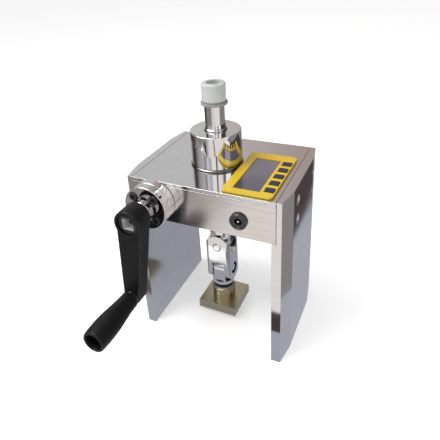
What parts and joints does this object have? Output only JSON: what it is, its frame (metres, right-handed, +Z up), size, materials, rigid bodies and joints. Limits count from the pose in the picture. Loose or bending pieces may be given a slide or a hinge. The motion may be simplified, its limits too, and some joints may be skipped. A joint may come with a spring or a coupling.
{
  "type": "pull-off adhesion tester",
  "caption": "Hand-cranked hydraulic pull-off tester: side plates carry a box with a pump, a hollow-plunger cylinder and a display over a hanging universal joint and test plate.",
  "frame": {"origin": "on the floor, at the middle of the outline seen from above", "axes": "+Z up, -Y towards the operator and the crank, +X to the operator's right"},
  "size_m": [0.148, 0.2038, 0.2446],
  "materials": {
    "mirror_steel": "mirror polished",
    "satin_steel": "satin",
    "machined_steel": "turned",
    "block_aluminium": "milled",
    "black_steel": "black oxide",
    "nickel_brass": "ground, slightly tarnished",
    "bronze": "turned",
    "black_plastic": "fine moulded grain",
    "grey_plastic": "satin",
    "yellow_plastic": "printed film",
    "key_plastic": "matt",
    "lcd_glass": "clear film over grey",
    "board_green": "solder mask",
    "battery_blue": "shrink sleeve",
    "black_rubber": "matt"
  },
  "bodies": {
    "frame": {"right_side_plate": "mirror_steel", "left_side_plate": "mirror_steel", "body_block": "block_aluminium", "top_cover": "mirror_steel", "front_cover": "satin_steel", "rear_cover": "satin_steel", "oil_filler_plug": "black_steel", "bottom_cover": "satin_steel", "cylinder_gasket": "black_rubber", "cylinder_shell": "mirror_steel", "cylinder_base_plug": "machined_steel", "neck_wiper_ring": "satin_steel", "gland_rear_ring": "mirror_steel", "gland_front_ring": "mirror_steel", "thrust_bush": "bronze", "pump_barrel": "machined_steel", "display_bezel": "yellow_plastic", "lcd_module": "lcd_glass", "circuit_board": "board_green", "battery_pack": "battery_blue", "pressure_sensor": "satin_steel", "charging_jack": "black_plastic", "jack_pin": "nickel_brass", "right_plate_screw_1": "machined_steel", "right_plate_screw_2": "machined_steel", "right_plate_screw_3": "machined_steel", "right_plate_screw_4": "machined_steel", "left_plate_screw_1": "machined_steel", "left_plate_screw_2": "machined_steel", "left_plate_screw_3": "machined_steel", "left_plate_screw_4": "machined_steel", "gland_screw_1": "black_steel", "gland_screw_2": "black_steel", "gland_screw_3": "black_steel", "gland_screw_4": "black_steel"},
    "crank": {"drive_screw": "machined_steel", "shaft_collar": "mirror_steel", "crank_arm": "black_plastic", "square_insert": "satin_steel", "grip_washer": "satin_steel", "grip_spindle": "machined_steel"},
    "grip": {"crank_grip": "black_plastic"},
    "plunger": {"pump_plunger": "machined_steel"},
    "piston": {"ring_piston": "machined_steel", "neck_tube": "mirror_steel"},
    "knob": {"adjusting_knob": "grey_plastic", "knob_nut": "nickel_brass"},
    "rod": {"pull_rod": "machined_steel", "upper_rod_end": "mirror_steel"},
    "link": {"joint_link": "mirror_steel", "upper_pin": "mirror_steel", "lower_pin": "mirror_steel"},
    "lower_eye": {"lower_rod_end": "mirror_steel"},
    "washer": {"stud_washer": "black_rubber"},
    "plate": {"test_plate": "nickel_brass"},
    "key_1": {"key_1": "key_plastic"},
    "key_2": {"key_2": "key_plastic"},
    "key_3": {"key_3": "key_plastic"},
    "key_4": {"key_4": "key_plastic"},
    "key_5": {"key_5": "key_plastic"}
  },
  "joints": [
    {"name": "crank_turn", "type": "hinge", "parent": "frame", "child": "crank", "pos_m": [-0.044, -0.06, 0.1515], "axis": [0, 1, 0], "range_deg": [0, 3816]},
    {"name": "grip_spin", "type": "hinge", "parent": "crank", "child": "grip", "pos_m": [-0.05306, -0.075, 0.07201], "axis": [0, 1, 0], "continuous": true},
    {"name": "plunger_slide", "type": "slide", "parent": "frame", "child": "plunger", "axis": [0, 1, 0], "range_m": [0, 0.0212]},
    {"name": "piston_lift", "type": "slide", "parent": "frame", "child": "piston", "axis": [0, 0, 1], "range_m": [0, 0.00485]},
    {"name": "knob_turn", "type": "hinge", "parent": "piston", "child": "knob", "pos_m": [-0.0065, 0.04595, 0.235], "axis": [0, 0, -1], "range_deg": [-576, 2880]},
    {"name": "rod_adjust", "type": "slide", "parent": "piston", "child": "rod", "axis": [0, 0, 1], "range_m": [-0.0024, 0.012]},
    {"name": "link_swing", "type": "hinge", "parent": "rod", "child": "link", "pos_m": [-0.0065, 0.04595, 0.0815], "axis": [0, 1, 0], "range_deg": [-12, 12]},
    {"name": "eye_swing", "type": "hinge", "parent": "link", "child": "lower_eye", "pos_m": [-0.0065, 0.04595, 0.0515], "axis": [1, 0, 0], "range_deg": [-12, 12]},
    {"name": "washer_drop", "type": "slide", "parent": "lower_eye", "child": "washer", "axis": [0, 0, -1], "range_m": [0, 0.00208]},
    {"name": "test_plate_turn", "type": "hinge", "parent": "washer", "child": "plate", "pos_m": [-0.0065, 0.04595, 0.02], "axis": [0, 0, -1], "range_deg": [0, 600]},
    {"name": "key_1_press", "type": "slide", "parent": "frame", "child": "key_1", "axis": [0, 0, -1], "range_m": [0, 0.0004], "stiffness_N_per_m": 900},
    {"name": "key_2_press", "type": "slide", "parent": "frame", "child": "key_2", "axis": [0, 0, -1], "range_m": [0, 0.0004], "stiffness_N_per_m": 900},
    {"name": "key_3_press", "type": "slide", "parent": "frame", "child": "key_3", "axis": [0, 0, -1], "range_m": [0, 0.0004], "stiffness_N_per_m": 900},
    {"name": "key_4_press", "type": "slide", "parent": "frame", "child": "key_4", "axis": [0, 0, -1], "range_m": [0, 0.0004], "stiffness_N_per_m": 900},
    {"name": "key_5_press", "type": "slide", "parent": "frame", "child": "key_5", "axis": [0, 0, -1], "range_m": [0, 0.0004], "stiffness_N_per_m": 900}
  ],
  "couplings": [
    {"joint": "plunger_slide", "follows": "crank_turn", "m_per_rad": 0.0003183},
    {"joint": "piston_lift", "follows": "crank_turn", "m_per_rad": 0.00007281},
    {"joint": "knob_turn", "follows": "rod_adjust", "rad_per_m": 4188.8},
    {"joint": "washer_drop", "follows": "test_plate_turn", "m_per_rad": 0.00019894}
  ]
}
